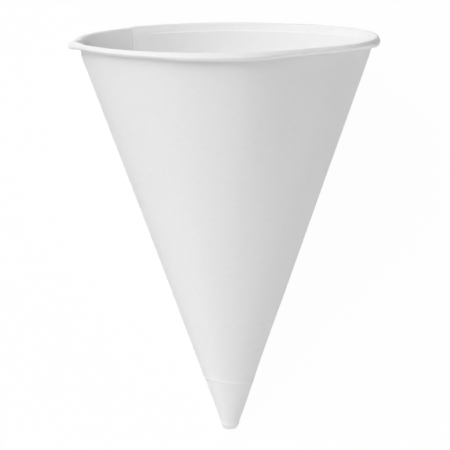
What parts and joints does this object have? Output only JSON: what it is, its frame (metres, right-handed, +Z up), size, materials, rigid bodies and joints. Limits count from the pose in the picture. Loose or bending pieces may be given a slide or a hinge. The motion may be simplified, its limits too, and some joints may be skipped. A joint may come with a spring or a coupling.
{
  "type": "cone-shaped paper cup",
  "caption": "Cone-shaped drinking cup of thin white paper, wound from one sheet with a lapped seam, a rolled rim and a blunt closed tip, for water dispensers.",
  "frame": {"origin": "on the floor, under the middle of the lying cup", "axes": "+Z up; +Y along the floor from the tip to the mouth; +X across the mouth. The cup lies on its flattened back and its axis rises towards the mouth"},
  "size_m": [0.0752, 0.1003, 0.0608],
  "materials": {
    "paper": "matte, uncoated"
  },
  "bodies": {
    "root": {"cone_cup": "paper"}
  },
  "joints": []
}
